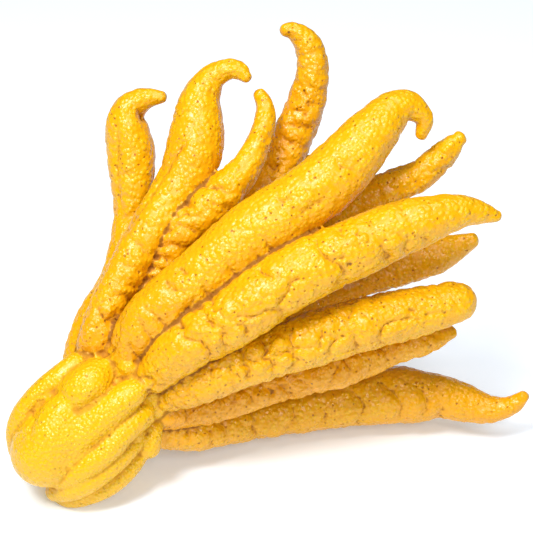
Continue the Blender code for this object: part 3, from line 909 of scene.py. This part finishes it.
# %% Colours and marks
# brown marks as (across, up, radius mm), seen from the front
RUBBED_MARKS = [
    (59.5, 138, 0.7), (66, 135, 0.45), (65, 115, 0.8), (62, 108, 0.5), (84, 45.5, 0.8), (83.5, 43.5, 0.5),
    (78.5, 47.5, 0.6), (50, 55.5, 0.5), (57, 71, 0.5), (61.5, 66, 0.5), (69, -2, 0.6), (73, 19, 0.6),
    (133, 66, 0.5),
]
LEMON = (0.80, 0.475, 0.003, 1)
GOLD = (0.80, 0.45, 0.002, 1)
ORANGE = (0.78, 0.335, 0.001, 1)
SHADE = (0.36, 0.155, 0.001, 1)
# painted shade for creases, seams and the lines where parts meet: orange brown and dark brown
CREASE_SHADE = (0.50, 0.18, 0.001, 1)
DEEP = (0.25, 0.085, 0.001, 1)
GLAND = (0.45, 0.13, 0.002, 1)
BROWN = (0.16, 0.045, 0.01, 1)
CORK = (0.27, 0.17, 0.07, 1)


def on_the_skin(across, up):
    """The front point of the rind that the eye sees nearest to this place, in metres."""
    close = np.hypot(seen[:, 0] - across, seen[:, 1] - up) < 1.2
    front = np.where(close, spots[:, 2], -1e9).argmax()
    return to_part(spots[front])


print(len(RUBBED_MARKS), "rubbed marks, the first at", on_the_skin(*RUBBED_MARKS[0][:2]).round(4), "metres")

# %% Rind material


def set_inputs(node, values):
    """Writes constant values on a node's own sockets."""
    for name, value in values.items():
        node.inputs[name].default_value = value


def rind_material():
    """Builds the node tree: colour from the stored values and noise with painted shade in the hollows, small
    glands, and layers of bump.
    """
    material = bpy.data.materials.new("citron_rind")
    material.use_nodes = True
    tree = material.node_tree
    shader = tree.nodes["Principled BSDF"]

    def link(value, target):
        if hasattr(value, "is_output"):
            tree.links.new(value, target)
        else:
            target.default_value = value

    def add(kind, sockets=(), **settings):
        node = tree.nodes.new(kind)
        for key, value in settings.items():
            setattr(node, key, value)
        for key, value in dict(sockets).items():
            link(value, node.inputs[key])
        return node

    def calc(operation, left, right, clamp=False):
        return add("ShaderNodeMath", {0: left, 1: right}, operation=operation, use_clamp=clamp).outputs[0]

    def times(left, right):
        return calc("MULTIPLY", left, right)

    def spread(value, low, high, to_low=0.0, to_high=1.0):
        """Moves softly from to_low to to_high while the value goes from low to high."""
        sockets = {"Value": value, "From Min": low, "From Max": high, "To Min": to_low, "To Max": to_high}
        return add("ShaderNodeMapRange", sockets, interpolation_type="SMOOTHSTEP").outputs["Result"]

    def blend(share, first, second):
        return add("ShaderNodeMix", {"Factor": share, 6: first, 7: second}, data_type="RGBA").outputs[2]

    place = add("ShaderNodeTexCoord").outputs["Object"]

    def noise(scale, detail=3.0, output="Fac"):
        return add("ShaderNodeTexNoise", {"Vector": place, "Scale": scale, "Detail": detail}).outputs[output]

    def cells(scale, where=place, feature="F1"):
        return add("ShaderNodeTexVoronoi", {"Vector": where, "Scale": scale}, feature=feature).outputs

    def stored(name):
        return add("ShaderNodeAttribute", attribute_name=name).outputs["Fac"]

    def weaker_on_bulb(share, strength, loss):
        """The share x strength on a finger and x (strength - loss) on the bulb."""
        return times(share, calc("SUBTRACT", strength, times(on_bulb, loss)))

    # cobbles: cushions of about 5 mm between sharp creases, in cells whose borders are bent by noise
    sockets = {0: noise(250.0, 2.0, "Color"), 1: (0.006,) * 3, 2: place}
    bent = add("ShaderNodeVectorMath", sockets, operation="MULTIPLY_ADD").outputs["Vector"]
    border = cells(190.0, bent, "DISTANCE_TO_EDGE")["Distance"]
    broken = times(spread(noise(150.0), 0.4, 0.6), stored("cobbled"))
    cushion = times(calc("POWER", spread(border, 0.0, 0.35), 0.5), broken)
    seam = times(spread(border, 0.08, 0.0), broken)
    # pebbles: domes of 2.1 mm on the fingers and 1.7 mm on the bulb
    on_bulb = stored("bulb")
    pebbles = blend(on_bulb, *(spread(cells(scale)["Distance"], 0.75, 0.0) for scale in (480.0, 600.0)))
    # glands: a ragged pit in the middle of most of the cells of 3 mm
    glands = cells(330.0)
    ragged = calc("ADD", glands["Distance"], spread(noise(1100.0), 0.3, 0.7, -0.06, 0.10))
    pit = times(spread(ragged, 0.19, 0.08), spread(glands["Color"], 0.1, 0.3))
    # creases inside a finger or fold, and the lines where two of them part
    crease = spread(stored("crease"), 0.04, 0.24)
    parted = spread(stored("parted"), 0.3, 0.95)

    # gold to orange: random patches of the rind's own tone, and the stored tint, which also holds painted shade
    patches = spread(noise(70.0), 0.35, 0.7)
    colour = blend(calc("ADD", times(stored("tint_and_shade"), 0.85), times(patches, 0.25), clamp=True), GOLD, ORANGE)
    for share, paint in (
        (times(on_bulb, 0.85), LEMON),
        # painted shade: the valleys between the pebbles turn orange
        (weaker_on_bulb(spread(pebbles, 0.55, 0.1), 0.55, 0.2), ORANGE),
        (spread(stored("groove"), 0.12, 0.8, 0.0, 0.55), SHADE),
        # painted shade: creases and cobble seams turn orange brown
        (weaker_on_bulb(crease, 0.75, 0.2), CREASE_SHADE),
        (times(seam, 0.3), CREASE_SHADE),
        # painted shade: the deepest creases and the lines where two fingers or folds part turn dark brown
        (spread(stored("crease"), 0.16, 0.42, 0.0, 0.9), DEEP),
        (weaker_on_bulb(parted, 0.85, 0.5), blend(on_bulb, DEEP, CREASE_SHADE)),
        (weaker_on_bulb(pit, 0.95, 0.5), GLAND),
        (times(stored("scar"), 0.9), CORK),
    ):
        colour = blend(share, colour, paint)
    wobble = times(noise(900.0), 0.9)
    for across, up, radius in RUBBED_MARKS:
        away = add("ShaderNodeVectorMath", {0: place, 1: on_the_skin(across, up)}, operation="DISTANCE")
        distance = calc("ADD", calc("DIVIDE", away.outputs["Value"], radius * MM), wobble)
        colour = blend(spread(distance, 1.5, 0.9, 0.0, 0.85), colour, BROWN)
    link(colour, shader.inputs["Base Color"])
    dull = times(calc("MAXIMUM", crease, parted), 0.45)
    link(calc("ADD", spread(noise(300.0), 0.3, 0.7, 0.24, 0.34), dull), shader.inputs["Roughness"])
    set_inputs(shader, {
        "Specular IOR Level": 0.4, "Subsurface Weight": 0.06, "Subsurface Radius": (1.0, 0.45, 0.1),
        "Subsurface Scale": 0.0015,
    })

    surface = None
    grain = noise(1400.0, 2.0)
    for height, millimetres in ((cushion, 0.3), (pebbles, 0.36), (grain, 0.07), (times(pit, -1.0), 0.25)):
        layer = add("ShaderNodeBump", {"Strength": 1.0, "Distance": millimetres * MM, "Height": height})
        if surface:
            tree.links.new(surface.outputs["Normal"], layer.inputs["Normal"])
        surface = layer
    link(surface.outputs["Normal"], shader.inputs["Normal"])
    return material


rind.materials.clear()
rind.materials.append(rind_material())
print("the rind's material has", len(rind.materials[0].node_tree.nodes), "nodes")
citron = in_scene("citron_rind", rind)
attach(citron, "root")
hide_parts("citron")

# %% [markdown]
# ## The plain studio
#
# A pale floor, a bright softbox high in front on the left, a weak one in front, a broad one overhead and an even
# surround, so that the fruit has a lively gloss and only a faint shadow.

# %% Floor, lights and camera
VIEW_WIDTH = 213.2  # mm seen at the aim


def add_floor():
    """A wide white floor at height 0, without gloss; it glows a little from below, as a light table does."""
    mesh = bpy.data.meshes.new("floor")
    mesh.from_pydata([(-4, -4, 0), (4, -4, 0), (4, 6, 0), (-4, 6, 0)], [], [(0, 1, 2, 3)])
    material = bpy.data.materials.new("floor_white")
    material.use_nodes = True
    set_inputs(material.node_tree.nodes["Principled BSDF"], {
        "Base Color": (0.80, 0.87, 0.96, 1), "Roughness": 0.9, "Specular IOR Level": 0.0,
        "Emission Color": (0.92, 0.97, 1, 1), "Emission Strength": 0.28,
    })
    mesh.materials.append(material)
    floor = in_scene("floor", mesh)


def add_softbox(name, position, size, power):
    """A square area light that faces the middle of the fruit."""
    light = bpy.data.lights.new(name, "AREA")
    light.shape = "SQUARE"
    light.size = size
    light.energy = power
    lamp = in_scene(name, light)
    lamp.location = position
    lamp.rotation_euler = (Vector((0, 0, 0.06)) - Vector(position)).to_track_quat("-Z", "Y").to_euler()


def add_surround(strength):
    """An even white world."""
    world = bpy.data.worlds.new("surround")
    world.use_nodes = True
    set_inputs(world.node_tree.nodes["Background"], {"Color": (1, 1, 1, 1), "Strength": strength})
    bpy.context.scene.world = world


def add_camera():
    """Looks straight at the hand's plane from the eye's distance, and sees the view width at the aim."""
    camera = in_scene("camera", bpy.data.cameras.new("camera"))
    camera.data.sensor_width = 36
    camera.data.lens = 36 * EYE_DISTANCE / VIEW_WIDTH
    camera.data.clip_end = 20
    camera.location = Vector(to_part(EYE_AIM + np.array([0, 0, EYE_DISTANCE])))
    camera.rotation_euler = (math.radians(90) - LEAN_BACK, 0, 0)
    bpy.context.scene.camera = camera


add_floor()
add_softbox("key", (-0.36, -0.55, 1.05), 0.35, 12)
add_softbox("front", (0.2, -0.9, 0.75), 0.3, 4)
add_softbox("overhead", (0.1, -0.05, 1.3), 0.8, 9)
add_surround(0.08)
add_camera()
bpy.context.scene.view_settings.view_transform = "Standard"
print("lens:", round(bpy.context.scene.camera.data.lens, 1), "mm")
